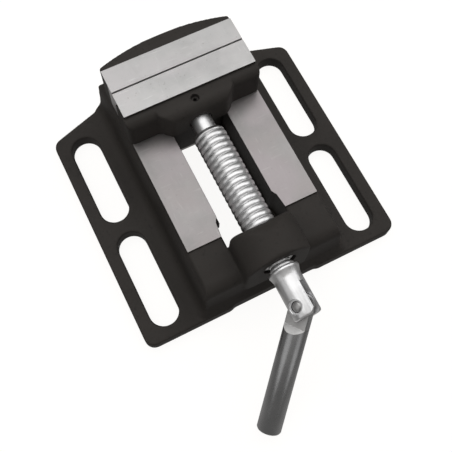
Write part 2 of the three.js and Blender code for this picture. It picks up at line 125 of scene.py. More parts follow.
def lathe(prof, c, axis="Y", n=64, name="lathe"):
    """prof: (radius, height along axis); starts and ends on the axis. c: the two other coordinates of the axis."""
    vs, fs, rings = [], [], []
    for r, h in prof:
        if r < 1e-9:
            rings.append([len(vs)]); vs.append((0.0, 0.0, h))
        else:
            rings.append(list(range(len(vs), len(vs) + n)))
            for k in range(n):
                a = 2 * math.pi * k / n
                vs.append((r * math.cos(a), r * math.sin(a), h))
    for p, q in zip(rings, rings[1:]):
        for k in range(n):
            k2 = (k + 1) % n
            if len(p) == 1 and len(q) == 1: continue
            if len(p) == 1: fs.append((p[0], q[k], q[k2]))
            elif len(q) == 1: fs.append((p[k2], p[k], q[0]))
            else: fs.append((p[k], q[k], q[k2], p[k2]))
    g = {"Y": lambda x, y, z: (x + c[0], z, y + c[1]), "Z": lambda x, y, z: (x + c[0], y + c[1], z), "X": lambda x, y, z: (z, x + c[0], y + c[1])}[axis]
    return mk(name, [g(*v) for v in vs], fs)


def rod(r, a, b, c, axis="Y", n=48):
    return lathe([(0, a), (r, a), (r, b), (0, b)], c, axis, n)


def rounded(pts, n=8):
    out, N = [], len(pts)
    for i, p in enumerate(pts):
        x, y = p[0], p[1]
        r = p[2] if len(p) > 2 else 0
        if not r:
            out.append((x, y)); continue
        a, b = Vector(pts[i - 1][:2]), Vector(pts[(i + 1) % N][:2])
        u, v = (a - Vector((x, y))).normalized(), (b - Vector((x, y))).normalized()
        ang = math.acos(max(-1, min(1, u.dot(v))))
        t = r / math.tan(ang / 2)
        c = (u + v).normalized() * (r / math.sin(ang / 2))
        p0, p1 = u * t - c, v * t - c
        a0 = math.atan2(p0.y, p0.x); da = math.atan2(p1.y, p1.x) - a0
        da = (da + math.pi) % (2 * math.pi) - math.pi
        out += [(x + c.x + r * math.cos(a0 + da * k / n), y + c.y + r * math.sin(a0 + da * k / n)) for k in range(n + 1)]
    return out


def slot_plan(x0, x1, y0, y1, n=20):
    r, cx = (x1 - x0) / 2, (x0 + x1) / 2
    return [(cx + r * math.cos(math.pi + math.pi * k / n), y0 + r + r * math.sin(math.pi + math.pi * k / n)) for k in range(n + 1)] + \
           [(cx + r * math.cos(math.pi * k / n), y1 - r + r * math.sin(math.pi * k / n)) for k in range(n + 1)]


def mirror(pts):
    return [(-x, y) for x, y in pts][::-1]


def cast(o, voxel, smooth, decimate=None, factor=0.5):
    """Cast rounding: one skin, its corners and fillets softened."""
    m = o.modifiers.new("r", "REMESH"); m.mode = "VOXEL"; m.voxel_size = voxel; m.use_smooth_shade = True
    m = o.modifiers.new("s", "SMOOTH"); m.factor = factor; m.iterations = smooth
    if decimate:
        m = o.modifiers.new("d", "DECIMATE"); m.ratio = decimate
    return apply_mods(o)


def bevel(o, w, seg=2, angle=28):
    m = o.modifiers.new("v", "BEVEL"); m.width = w; m.segments = seg; m.limit_method = "ANGLE"
    m.angle_limit = math.radians(angle); m.use_clamp_overlap = True; m.miter_outer = "MITER_ARC"
    m.harden_normals = False
    return apply_mods(o)


def thread(prof, y0, y1, steps, root):
    """Right-hand thread about Y: a grid that follows the helix. prof: (y offset, radius) across one pitch."""
    K = len(prof)
    t0, t1 = math.floor(y0 / PITCH) - 2, math.ceil(y1 / PITCH) + 2
    J = (t1 - t0) * steps
    vs, fs = [], []
    for j in range(J + steps + 1):
        ramp = max(0.0, min(1.0, min(j, J + steps - j) / steps - 0.001))
        a = 2 * math.pi * j / steps
        for k in range(K):
            r = root + (prof[k][1] - root) * ramp
            vs.append((r * math.sin(a), PITCH * (t0 + j / steps) + prof[k][0], SZ + r * math.cos(a)))
    idx = lambda j, k: j * K + k if k < K else (j + steps) * K
    for j in range(J):
        for k in range(K):
            fs.append((idx(j, k), idx(j + 1, k), idx(j + 1, k + 1), idx(j, k + 1)))
    lo = len(vs); vs.append((0, PITCH * (t0 - 1), SZ))
    hi = len(vs); vs.append((0, PITCH * (t1 + 2), SZ))
    for j in range(steps):
        fs.append((lo, idx(j + 1, 0), idx(j, 0))); fs.append((hi, idx(J + j, 0), idx(J + j + 1, 0)))
    for k in range(K):
        fs.append((lo, idx(0, k), idx(0, k + 1))); fs.append((hi, idx(J, k + 1), idx(J, k)))
    me = bpy.data.meshes.new("thread"); me.from_pydata(vs, [], fs)
    bm = bmesh.new(); bm.from_mesh(me)
    bmesh.ops.triangulate(bm, faces=bm.faces)
    bmesh.ops.recalc_face_normals(bm, faces=bm.faces)
    bm.to_mesh(me); bm.free()
    o = bpy.data.objects.new("thread", me); coll.objects.link(o)
    return o


def finish_piece(o, name, body, mats, nodes, angle=32, assign=None):
    """Into the row frame in metres, shaded, with its materials; then handed to the frame."""
    me = o.data
    if assign:
        n = len(me.polygons)
        c = np.zeros(n * 3); me.polygons.foreach_get("center", c); c = c.reshape(-1, 3)
        nn = np.zeros(n * 3); me.polygons.foreach_get("normal", nn); nn = nn.reshape(-1, 3)
        me.materials.clear()
        for m in mats: me.materials.append(m)
        me.polygons.foreach_set("material_index", assign(c, nn).astype(np.int32))
    else:
        me.materials.clear()
        for m in mats: me.materials.append(m)
        me.polygons.foreach_set("material_index", np.zeros(len(me.polygons), np.int32))
    me.transform(Matrix.Scale(0.001, 4) @ Matrix.Translation((0, -OY, 0)))
    me.shade_smooth()
    me.set_sharp_from_angle(angle=math.radians(angle))
    me.update()
    o.name = name; me.name = name
    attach(o, body)
    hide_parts(*nodes)
    return o


# ---------------------------------------------------------------------------
# Camera, floor and light
# ---------------------------------------------------------------------------
cam_d = bpy.data.cameras.new("camera")
cam = bpy.data.objects.new("camera", cam_d); coll.objects.link(cam)
cam_d.sensor_width = 36.0; cam_d.lens = 55.02; cam_d.clip_start = 0.01; cam_d.clip_end = 20
az, el, rl = math.radians(-30.112), math.radians(70.793), math.radians(3.531)
back = Vector((math.sin(az) * math.cos(el), -math.cos(az) * math.cos(el), math.sin(el)))
right = Vector((math.cos(az), math.sin(az), 0)); up = back.cross(right)
r2 = math.cos(rl) * right + math.sin(rl) * up
u2 = -math.sin(rl) * right + math.cos(rl) * up
pos = (Vector((-7.421, 44.67 - OY, 0)) + back * 388.325) * 0.001
cam.matrix_world = Matrix(((r2.x, u2.x, back.x, pos.x), (r2.y, u2.y, back.y, pos.y), (r2.z, u2.z, back.z, pos.z), (0, 0, 0, 1)))
bpy.context.scene.camera = cam

W = bpy.data.worlds.new("studio"); bpy.context.scene.world = W
W.use_nodes = True
wt = W.node_tree
bg = wt.nodes["Background"]
wc = wt.nodes.new("ShaderNodeTexCoord"); wx = wt.nodes.new("ShaderNodeSeparateXYZ"); wr = wt.nodes.new("ShaderNodeValToRGB")
wm = wt.nodes.new("ShaderNodeMapRange"); wm.inputs["From Min"].default_value = -1.0
wt.links.new(wc.outputs["Generated"], wx.inputs[0]); wt.links.new(wx.outputs["Z"], wm.inputs["Value"]); wt.links.new(wm.outputs["Result"], wr.inputs[0]); wt.links.new(wr.outputs[0], bg.inputs[0])
for e in (0.3, 0.48, 0.7):
    wr.color_ramp.elements.new(e)
for e, (p, v) in zip(wr.color_ramp.elements, ((0.0, 0.34), (0.30, 0.22), (0.48, 0.15), (0.775, 0.165), (1.0, 0.42))):
    e.position = p; e.color = (v, v * 0.985, v * 0.965, 1)
bg.inputs[1].default_value = 1.0


def area(name, direction, dist, size, radiance, size_y=None, color=(1, 1, 1)):
    """A softbox dist metres off in that direction, of that radiance."""
    size_y = size_y or size
    d = bpy.data.lights.new(name, "AREA"); d.energy = radiance * math.pi * size * size_y; d.color = color
    d.shape = "RECTANGLE"; d.size = size; d.size_y = size_y
    o = bpy.data.objects.new(name, d); coll.objects.link(o)
    v = Vector(direction).normalized()
    o.location = v * dist
    o.rotation_euler = (-v).to_track_quat("-Z", "Y").to_euler()
    return o


area("overhead", (0.03, 0.30, 0.95), 1.0, 1.5, 1.0, 0.8)
area("left", (-0.86, -0.06, 0.50), 1.2, 0.75, 0.46)
area("right", (0.83, 0.05, 0.56), 1.2, 0.7, 1.15)
area("front", (0.12, -0.88, 0.45), 1.2, 0.6, 0.42)
area("rear", (-0.2, 0.94, 0.40), 1.2, 0.5, 0.9)

floor = mk("floor", [(-1.5, -1.5, 0), (1.5, -1.5, 0), (1.5, 1.5, 0), (-1.5, 1.5, 0)], [(0, 1, 2, 3)])
floor.data.transform(Matrix.Translation((0, 0, -0.0002)))


# ---------------------------------------------------------------------------
# Materials
# ---------------------------------------------------------------------------
class Mat:
    def __init__(self, name):
        self.m = bpy.data.materials.new(name); self.m.use_nodes = True
        self.t = self.m.node_tree; self.n = self.t.nodes; self.l = self.t.links
        self.b = self.n["Principled BSDF"]
        self.co = self.n.new("ShaderNodeTexCoord")

    def node(self, kind, **kw):
        x = self.n.new(kind)
        for k, v in kw.items(): setattr(x, k, v)
        return x

    def link(self, a, b): self.l.new(a, b)

    def coords(self, scale=(1, 1, 1), rot=(0, 0, 0)):
        mp = self.node("ShaderNodeMapping")
        mp.inputs["Scale"].default_value = scale; mp.inputs["Rotation"].default_value = rot
        self.link(self.co.outputs["Object"], mp.inputs["Vector"])
        return mp.outputs["Vector"]

    def noise(self, vec, scale, detail=4, rough=0.55, lac=2.0):
        x = self.node("ShaderNodeTexNoise")
        x.inputs["Scale"].default_value = scale; x.inputs["Detail"].default_value = detail
        x.inputs["Roughness"].default_value = rough; x.inputs["Lacunarity"].default_value = lac
        self.link(vec, x.inputs["Vector"])
        return x.outputs["Fac"]

    def ramp(self, fac, stops):
        x = self.node("ShaderNodeValToRGB")
        e = x.color_ramp.elements
        while len(e) < len(stops): e.new(0.5)
        for s, (p, c) in zip(e, stops):
            s.position = p; s.color = (c[0], c[1], c[2], 1) if isinstance(c, (tuple, list)) else (c, c, c, 1)
        self.link(fac, x.inputs["Fac"])
        return x.outputs["Color"]

    def rng(self, fac, a, b, lo=0.0, hi=1.0):
        x = self.node("ShaderNodeMapRange")
        x.inputs["From Min"].default_value = lo; x.inputs["From Max"].default_value = hi
        x.inputs["To Min"].default_value = a; x.inputs["To Max"].default_value = b
        self.link(fac, x.inputs["Value"])
        return x.outputs["Result"]

    def mix(self, fac, a, b, kind="MIX"):
        x = self.node("ShaderNodeMix", data_type="RGBA", blend_type=kind)
        if isinstance(fac, (int, float)): x.inputs[0].default_value = fac
        else: self.link(fac, x.inputs[0])
        for s, v in ((6, a), (7, b)):
            if isinstance(v, tuple): x.inputs[s].default_value = (*v, 1)
            else: self.link(v, x.inputs[s])
        return x.outputs[2]

    def math(self, op, a, b=None):
        x = self.node("ShaderNodeMath", operation=op)
        for i, v in enumerate((a, b)):
            if v is None: continue
            if isinstance(v, (int, float)): x.inputs[i].default_value = v
            else: self.link(v, x.inputs[i])
        return x.outputs[0]

    def bump(self, height, dist, strength=1.0, chain=None):
        x = self.node("ShaderNodeBump")
        x.inputs["Distance"].default_value = dist; x.inputs["Strength"].default_value = strength
        self.link(height, x.inputs["Height"])
        if chain: self.link(chain, x.inputs["Normal"])
        return x.outputs["Normal"]

    def set(self, **kw):
        names = {"color": "Base Color", "rough": "Roughness", "metal": "Metallic", "normal": "Normal", "coat": "Coat Weight",
                 "coat_rough": "Coat Roughness", "aniso": "Anisotropic", "spec": "Specular IOR Level"}
        for k, v in kw.items():
            s = self.b.inputs[names[k]]
            if isinstance(v, (int, float)): s.default_value = v
            elif isinstance(v, tuple): s.default_value = (*v, 1)
            else: self.link(v, s)
        return self.m


def paint_material():
    k = Mat("black_paint")
    v = k.coords()
    wide = k.noise(v, 28, 3)
    fine = k.noise(v, 900, 3, 0.6)
    grit = k.noise(v, 2600, 2, 0.5)
    pits = k.noise(v, 420, 2, 0.5)
    edge = k.node("ShaderNodeNewGeometry").outputs["Pointiness"]
    col = k.mix(k.rng(wide, 0, 1, 0.35, 0.65), (0.043, 0.0385, 0.0350), (0.052, 0.0465, 0.0425))
    col = k.mix(k.rng(pits, 0, 0.6, 0.62, 0.72), col, (0.035, 0.032, 0.030))
    wear = k.math("MULTIPLY", k.rng(edge, 0, 1, 0.56, 0.66), k.rng(fine, 0, 1, 0.45, 0.62))
    col = k.mix(k.math("MULTIPLY", wear, 0.35), col, (0.11, 0.105, 0.10))
    rough = k.rng(fine, 0.50, 0.66)
    n = k.bump(wide, 0.0006, 0.25)
    n = k.bump(fine, 0.00012, 0.55, n)
    n = k.bump(grit, 0.00003, 0.5, n)
    return k.set(color=col, rough=rough, normal=n, spec=0.16)


def ground_material(name="ground_metal", base=(0.60, 0.59, 0.59), direction=0, pinkish=0.85):
    """Surface-ground iron or steel: fine parallel lines with faint crossing swirls."""
    k = Mat(name)
    sc = (60, 3200, 60) if direction == 0 else (3200, 60, 60)
    lines = k.noise(k.coords(sc), 1.0, 5, 0.6)
    lines2 = k.noise(k.coords((sc[0] * 0.4, sc[1] * 0.35, 40), (0, 0, 0.22)), 1.0, 4, 0.6)
    cloud = k.noise(k.coords(), 30, 4, 0.6)
    cloud2 = k.noise(k.coords(), 75, 3, 0.5)
    spots = k.noise(k.coords(), 700, 2, 0.5)
    wob = k.noise(k.coords(), 90, 2, 0.5)
    strokes = k.noise(k.coords((900, 110, 110), (0, 0, 0.55)), 1.0, 3, 0.5)
    strokes2 = k.noise(k.coords((120, 800, 120), (0, 0, 0.35)), 1.0, 3, 0.5)
    pink = k.noise(k.coords((1, 1, 1), (0.4, 0.9, 0.1)), 38, 2, 0.4)
    b2 = tuple(c * 0.76 for c in base)
    warm = (base[0] * 1.0, base[1] * (1 - 0.05 * pinkish), base[2] * (1 - 0.04 * pinkish))
    col = k.mix(k.rng(cloud, 0, 1, 0.30, 0.70), base, b2)
    col = k.mix(k.rng(cloud2, 0, 0.8, 0.42, 0.66), col, warm)
    col = k.mix(k.rng(pink, 0, pinkish, 0.46, 0.62), col, (base[0] * 1.02, base[1] * 0.968, base[2] * 1.0))
    light = tuple(min(1.0, c * 1.30) for c in base)
    col = k.mix(k.math("MULTIPLY", k.rng(strokes, 0, 0.42, 0.60, 0.72), k.rng(wob, 0, 1, 0.50, 0.62)), col, light)
    col = k.mix(k.math("MULTIPLY", k.rng(strokes2, 0, 0.30, 0.60, 0.72), k.rng(wob, 1, 0, 0.42, 0.54)), col, light)
    col = k.mix(k.rng(spots, 0, 0.35, 0.68, 0.76), col, (0.22, 0.20, 0.19))
    rough = k.math("ADD", k.rng(lines, 0.34, 0.48), k.rng(cloud2, -0.04, 0.06))
    n = k.bump(lines, 0.00005, 0.5)
    n = k.bump(lines2, 0.00004, 0.35, n)
    return k.set(color=col, rough=rough, metal=1.0, normal=n)


def turned_material(name, base, rough_lo, rough_hi, cloud_scale=120, tint=0.82, lines=2600, amount=0.4):
    """Turned steel: fine rings round the Y axis under a thin plating."""
    k = Mat(name)
    rings = k.noise(k.coords((40, lines, 40)), 1.0, 4, 0.6)
    cloud = k.noise(k.coords(), cloud_scale, 4, 0.6)
    fine = k.noise(k.coords(), 1500, 2, 0.5)
    col = k.mix(k.rng(cloud, 0, 1, 0.3, 0.7), base, tuple(c * tint for c in base))
    rough = k.math("ADD", k.rng(cloud, rough_lo, rough_hi, 0.3, 0.7), k.rng(fine, -0.03, 0.05))
    n = k.bump(rings, 0.00004, amount)
    n = k.bump(fine, 0.00001, 0.15, n)
    return k.set(color=col, rough=rough, metal=1.0, normal=n)


PAINT = paint_material()
GROUND = ground_material("ground_iron_rails", (0.39, 0.376, 0.372), 1)
GROUND_J = ground_material("ground_jaw_tops", (0.62, 0.617, 0.612), 0, 0.25)
PLATE = GROUND_J
MILLED = ground_material("milled_underside", (0.42, 0.41, 0.40), 0)
ZINC = turned_material("bright_zinc", (0.90, 0.90, 0.905), 0.29, 0.37, amount=0.08, tint=0.9)
OXIDE = turned_material("black_oxide", (0.075, 0.075, 0.08), 0.30, 0.42)


def handle_material():
    """Drawn bar: fine lines along the bar, which lies in the handle's own direction."""
    k = Mat("handle_steel")
    s, c = math.sin(DROP), math.cos(DROP)
    d = Vector((-s * math.sin(ROLL), -c, -s * math.cos(ROLL)))
    q = d.to_track_quat("Z", "Y").to_matrix().inverted().to_euler()
    lines = k.noise(k.coords((1800, 1800, 40), (q.x, q.y, q.z)), 1.0, 4, 0.6)
    cloud = k.noise(k.coords(), 90, 4, 0.6)
    fine = k.noise(k.coords(), 1300, 2, 0.5)
    col = k.mix(k.rng(cloud, 0, 1, 0.3, 0.7), (0.50, 0.50, 0.505), (0.43, 0.43, 0.435))
    rough = k.math("ADD", k.rng(lines, 0.23, 0.32), k.rng(fine, -0.03, 0.05))
    n = k.bump(lines, 0.00003, 0.35)
    return k.set(color=col, rough=rough, metal=1.0, normal=n)


HANDLE = handle_material()
PIN_STEEL = turned_material("pin_steel", (0.62, 0.615, 0.61), 0.36, 0.46, amount=0.1)


def machined_material(name, base):
    """Milled flats and run-outs: a dull cut surface with cutter marks."""
    k = Mat(name)
    marks = k.noise(k.coords((500, 2600, 500), (0.3, 0.2, 0.1)), 1.0, 4, 0.6)
    cloud = k.noise(k.coords(), 160, 3, 0.5)
    col = k.mix(k.rng(cloud, 0, 1, 0.3, 0.7), base, tuple(c * 0.86 for c in base))
    col = k.mix(k.rng(marks, 0, 0.35, 0.5, 0.7), col, tuple(c * 0.72 for c in base))
    rough = k.rng(marks, 0.42, 0.54)
    return k.set(color=col, rough=rough, metal=0.35, normal=k.bump(marks, 0.00003, 0.4), spec=0.4)


MACHINED = machined_material("machined_flats", (0.60, 0.595, 0.59))
# The run-out slopes reuse the flats' cut metal made nearly white: a painted highlight, not a different finish.
RUN_OUT_PAINTED_HIGHLIGHT = machined_material("machined_run_outs_painted_highlight", (0.98, 0.975, 0.97))


def floor_material():
    k = Mat("floor_paper")
    n1 = k.noise(k.coords(), 6, 3)
    n2 = k.noise(k.coords(), 260, 3)
    col = k.mix(k.rng(n1, 0, 1, 0.3, 0.7), (0.17, 0.169, 0.168), (0.155, 0.154, 0.153))
    k.b.inputs["Emission Color"].default_value = (1.0, 0.992, 0.98, 1)
    k.b.inputs["Emission Strength"].default_value = 0.93      # a lit table, so that shadows stay faint
    return k.set(color=col, rough=0.9, normal=k.bump(n2, 0.0001, 0.08), spec=0.05)


floor.data.materials.append(floor_material())
floor.visible_diffuse = False      # the pale table lights neither the paint nor the steel
floor.visible_glossy = False
dome_v, dome_f, DN = [], [], 48
for q in range(9):
    a = math.radians(-14 + 12.75 * q)
    for k_ in range(DN):
        t = 2 * math.pi * k_ / DN
        dome_v.append((6.0 * math.cos(a) * math.cos(t), 6.0 * math.cos(a) * math.sin(t), 6.0 * math.sin(a)))
for q in range(8):
    for k_ in range(DN):
        dome_f.append((q * DN + k_, q * DN + (k_ + 1) % DN, (q + 1) * DN + (k_ + 1) % DN, (q + 1) * DN + k_))
dome_f.append([8 * DN + k_ for k_ in range(DN)])
dome = mk("backdrop", dome_v, dome_f)
km = Mat("backdrop_paper")
km.b.inputs["Emission Color"].default_value = (1.0, 0.994, 0.985, 1)
km.b.inputs["Emission Strength"].default_value = 0.99
dome.data.materials.append(km.set(color=km.mix(km.noise(km.coords(), 2, 2), (0.05, 0.05, 0.05), (0.04, 0.04, 0.04)), rough=0.9, spec=0.0))
dome.visible_diffuse = dome.visible_glossy = dome.visible_shadow = dome.visible_transmission = False

# ---------------------------------------------------------------------------
# Body casting
# ---------------------------------------------------------------------------
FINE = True
VOX = 0.55 if FINE else 0.9
BOSS_HW, BOSS_TOP, BOSS_REAR = 17.5, 56.2, 23.6


def boss_plan(n=10):
    return rounded([(-18.7, 2.6, 3), (18.7, 2.6, 3), (18.7, BOSS_REAR + 1.4, 5), (-18.7, BOSS_REAR + 1.4, 5)], n)


def make_body():
    outline = rounded([(-75, 0, 5.5), (-26.3, 0, 4), (-20.8, 2.5, 4), (20.8, 2.5, 4), (26.3, 0, 4), (75, 0, 5.5),
                       (75, 130, 6), (41, 140.5, 8), (-41, 140.5, 8), (-75, 130, 6)], 8)
    b = prism(outline, -2.0, 8.0)
    half = [(46.5, 8.0), (44.0, 8.5), (42.0, 10.0), (40.7, 12.6), (40.2, 16), (39.3, 28), (38.6, 31.5), (37.6, 34.0), (36.9, 34.8)]
    blk = prism([(-46.5, -2), (46.5, -2)] + half + [(-x, z) for x, z in half[::-1]], 0.6, 141, "Y")
    meet(blk, prism(rounded([(0.9, -3), (141, -3), (141, 29), (137.4, 34.8, 2), (20, 34.8), (5.2, 34.8, 6.5), (4.2, 14, 6), (0.9, 8.2, 1)], 8), -48, 48, "X"),
         prism(rounded([(-46.5, 0.6, 9), (46.5, 0.6, 9), (46.5, 141, 5), (-46.5, 141, 5)], 8), -3, 8.6 + 30))
    arc = [(BOSS_HW * math.cos(math.pi * k / 28), SZ + (BOSS_TOP - SZ) * math.sin(math.pi * k / 28)) for k in range(29)]
    boss = prism([(18.7, 20)] + arc + [(-18.7, 20)], 1, 31, "Y")
    meet(boss, prism(rounded([(2.6, 10), (BOSS_REAR + 1.6, 10), (BOSS_REAR + 1.0, 34), (BOSS_REAR - 0.4, BOSS_TOP + 0.1, 9.5), (2.6, BOSS_TOP + 0.1, 2.6)], 10), -20, 20, "X"), prism(boss_plan(), 5, 60))
    back_arc = [(37.3 * (1 - k / 12), 139.1 - 5.6 * abs(1 - k / 12) ** 2.1) for k in range(25)]
    jaw = prism([(-37.3, 122.5), (37.3, 122.5)] + back_arc, 20, 56.3)
    meet(jaw, prism(rounded([(122, 10), (145, 10), (145, 40), (139.4, 56.3, 2.2), (122, 56.3)], 8), -40, 40, "X"))
    add(b, blk, boss, jaw)
    # relief beside the boss and at the rails' front ends, and the hollows below
    relief = prism([(-15.4, 42), (-15.8, 40.5), (-17.4, 37.6), (-18.3, 29.7), (-18.3, 23.6), (18.3, 23.6), (18.3, 29.7), (17.4, 37.6), (15.8, 40.5), (15.4, 42)], 12, 60)
    low = prism([(-14.4, 12.5), (-12.6, -5), (12.6, -5), (14.4, 12.5)], 23.8, 44, "Y")
    core = prism(boss_plan(), -6, 70)
    boolean(relief, core, "DIFFERENCE", keep=True)
    boolean(low, core, "DIFFERENCE")
    gap0 = prism([(-14.6, 40), (14.6, 40), (14.6, 111), (-14.6, 111)], -5, 60)
    cut(b, relief, low)
    for y0, y1 in ((71, 126.5), (6.7, 62.9)):
        p = slot_plan(51.5, 67.5, y0, y1)
        cut(b, prism(p, -5, 20), prism(mirror(p), -5, 20))
    hp = rounded([(23.5, 34, 3), (34.5, 34, 3), (34.5, 106, 3), (23.5, 106, 3)], 5)
    cut(b, prism(hp, -5, 28), prism(mirror(hp), -5, 28),
        prism(rounded([(-33, 10.5, 3), (33, 10.5, 3), (33, 20.5, 3), (-33, 20.5, 3)], 5), -5, 26),
        prism(rounded([(-33, 118, 3), (33, 118, 3), (33, 134.5, 3), (-33, 134.5, 3)], 5), -5, 29))
    drop(gap0)
    cast(b, VOX, 16 if FINE else 6, 0.32 if FINE else None)
    # machining: underside, gap, ledges, keeper recess
    cut(b, box(-80, 80, -5, 145, -6, 0))
    cut(b, prism([(-15.8, 40.5), (15.8, 40.5), (15.8, 112), (-15.8, 112)], 12, 60),
        prism([(-12, 30.5), (12, 30.5), (12, 112), (-12, 112)], -1, 20),
        prism([(-20, 29.3), (20, 29.3), (20, 112), (-20, 112)], -1, 5.5))
    # ground lands: rails and fixed jaw
    for s in (1, -1):
        pts = [(15.8, 40.5), (17.4, 37.6), (18.3, 29.7), (37.3, 29.7), (37.3, FIX_FACE + 3), (15.8, FIX_FACE + 3)]
        rail = prism(pts if s > 0 else mirror(pts), 31, 36)
        bevel(rail, 0.18, 1)
        add(b, rail)
    land = box(-37.3, 37.3, FIX_FACE + 0.006, 131.05, 33, JAW_TOP)
    add(b, land)
    # between the rails under the fixed jaw the wall is solid; the plate's screws are tapped into it
    for s in (1, -1):
        cut(b, rod(2.8, FIX_FACE - 1, FIX_FACE + 9.5, (s * 22, 46.5), n=24))
    # tapped hole
    tap = thread([(-1.18, 9.25), (1.18, 9.25), (1.63, 8.2), (1.87, 8.2)], 2, 27, 48, 8.2)
    meet(tap, box(-12, 12, 3.5, BOSS_REAR - 1.9, SZ - 12, SZ + 12))
    cut(b, tap,
        lathe([(0, 0), (9.15, 0), (9.0, 0.3), (9.0, 3.9), (0, 3.9)], (0, SZ)),
        lathe([(0, BOSS_REAR - 2.6), (9.4, BOSS_REAR - 2.6), (9.8, BOSS_REAR - 1.6), (9.8, 34), (0, 34)], (0, SZ)))
    return b


def body_faces(c, n):
    top = n[:, 2] > 0.97
    x, y, z = np.abs(c[:, 0]), c[:, 1], c[:, 2]
    i = np.zeros(len(c), int)
    i[top & (z > 35.9) & (z < 36.1) & (x < 37.5) & (y > 29)] = 1
    i[top & (z > 56.6)] = 2
    i[(n[:, 2] < -0.97) & (z < 0.05)] = 3
    gap = (np.abs(n[:, 0]) > 0.97) & (x > 11.5) & (x < 20.5) & (y > 41) & (y < 112.2) & (z < 35.5)
    i[gap & (z < 5.6)] = 3
    return i


body = make_body()
finish_piece(body, "body_casting", "base", [PAINT, GROUND, GROUND_J, MILLED], ["vise_body"], 30, body_faces)

# ---------------------------------------------------------------------------
# Moving jaw
# ---------------------------------------------------------------------------


def make_jaw():
    hub = rounded([(-38, 95.7, 2.5), (-21, 95.7, 3), (-19.3, 93.4, 3), (-15.6, 90.4, 4.5), (15.6, 90.4, 4.5), (19.3, 93.4, 3), (21, 95.7, 3), (38, 95.7, 2.5), (38, MOV_FACE + 3), (-38, MOV_FACE + 3)], 7)
    j = prism(hub, 30, 55)
    side = prism(rounded([(90.4, 20), (125, 20), (125, 55), (90.4, 55, 5.5)], 8), -21.4, 21.4, "X")
    wide = prism(rounded([(95.7, 20), (125, 20), (125, 55), (95.7, 55, 4.8)], 8), -42, 42, "X")
    meet(j, add(side, wide))
    cast(j, 0.5 if FINE else 0.8, 10 if FINE else 4, 0.35 if FINE else None)
    cut(j, box(-60, 60, 80, 130, 20, 36.3), box(-60, 60, MOV_FACE, 140, 20, 80))
    land = box(-37.3, 37.3, 101.6, MOV_FACE - 0.006, 40, JAW_TOP)
    add(j, land)
    tongue = prism([(-15.3, 95.9), (15.3, 95.9), (15.3, 110.2), (-15.3, 110.2)], 12.4, 37)
    bevel(tongue, 0.6, 2)
    low = prism([(-11.5, 95.9), (11.5, 95.9), (11.5, 110.2), (-11.5, 110.2)], 5.6, 20)
    bevel(low, 0.5, 2)
    add(j, tongue, low)
    cut(j, lathe([(0, 80), (6.6, 80), (6.35, 90.7), (6.2, 91.1), (6.2, 104.6), (0, 106.5)], (0, SZ)),
        lathe([(0, SZ), (2.35, SZ), (2.35, 54.9), (2.45, 55.1), (2.45, 60), (0, 60)], (0, 97), "Z", 40))
    for s in (1, -1):
        cut(j, rod(2.8, MOV_FACE - 8.5, MOV_FACE + 1, (s * 22, 46.5), n=24), rod(2.3, 4, 16.5, (s * 6.2, 103.6), "Z", 24))
    return j


def jaw_faces(c, n):
    i = np.zeros(len(c), int)
    i[(n[:, 2] > 0.97) & (c[:, 2] > 56.6)] = 1
    i[(n[:, 2] < -0.97) & (c[:, 2] < 36.4)] = 2
    i[(c[:, 2] < 36.2) & (n[:, 1] > -0.5)] = 2
    return i


jaw = make_jaw()
finish_piece(jaw, "moving_jaw_casting", "sliding_jaw", [PAINT, GROUND_J, MILLED], ["moving_jaw"], 30, jaw_faces)

# ---------------------------------------------------------------------------
# Jaw plates, screws, keeper
# ---------------------------------------------------------------------------


def face_edges(p, face):
    """The gripping face's long edges are eased by a steep chamfer, the other edges stay sharp, as ground."""
    d = 1 if max(v.co.y for v in p.data.vertices) > face + 0.5 else -1
    for z, t in ((JAW_TOP, 1), (36.4, -1)):
        cut(p, prism([(face - d * 1, z - t * 1.3), (face, z - t * 1.3), (face + d * 0.40, z + t * 0.2), (face - d * 1, z + t * 0.2)], -40, 40, "X"))
    return p


def jaw_plate(y0, y1, face, name, body_name, node):
    p = box(-37.3, 37.3, y0, y1, 36.4, JAW_TOP)
    face_edges(p, face)
    d = 1 if face == y0 else -1
    for s in (1, -1):
        prof = [(0, face - d * 1), (5.45, face - d * 1), (5.45, face), (5.2, face + d * 0.3), (2.9, face + d * 2.8), (2.9, face + d * 8), (0, face + d * 8)]
        cut(p, lathe(prof, (s * 22, 46.5)))
    return finish_piece(p, name, body_name, [PLATE], [node], 30)


FIT = 0.28    # the jaws' seams close up to a hair line
b0, b1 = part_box("fixed_jaw_plate"); m0, m1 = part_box("moving_jaw_plate")
f0, f1 = b0.y * 1000 + OY, b1.y * 1000 + OY
g0, g1 = m0.y * 1000 + OY, m1.y * 1000 + OY
jaw_plate(f0, FIX_FACE, f0, "jaw_plate_fixed", "base", "fixed_jaw_plate")
jaw_plate(MOV_FACE, g1, g1, "jaw_plate_moving", "sliding_jaw", "moving_jaw_plate")


def hex_prism(af, a, b, c, axis, turn=0.0):
    pts = [(af / 2 / math.cos(math.pi / 6) * math.cos(math.pi / 3 * k + turn), af / 2 / math.cos(math.pi / 6) * math.sin(math.pi / 3 * k + turn)) for k in range(6)]
    return prism([(x + c[0], y + c[1]) for x, y in pts], a, b, axis)


def jaw_screw(face, d, x, name, body_name, node, turn):
    f = face + d * 0.35
    o = lathe([(0, f), (4.55, f), (4.8, f + d * 0.2), (4.8, f + d * 0.35), (2.5, f + d * 2.75), (2.5, f + d * 13.0), (2.1, f + d * 13.5), (0, f + d * 13.5)], (x, 46.5), n=56)
    cut(o, hex_prism(3, min(f - d * 1, f + d * 2), max(f - d * 1, f + d * 2), (x, 46.5), "Y", turn))
    return finish_piece(o, name, body_name, [OXIDE], [node], 30)


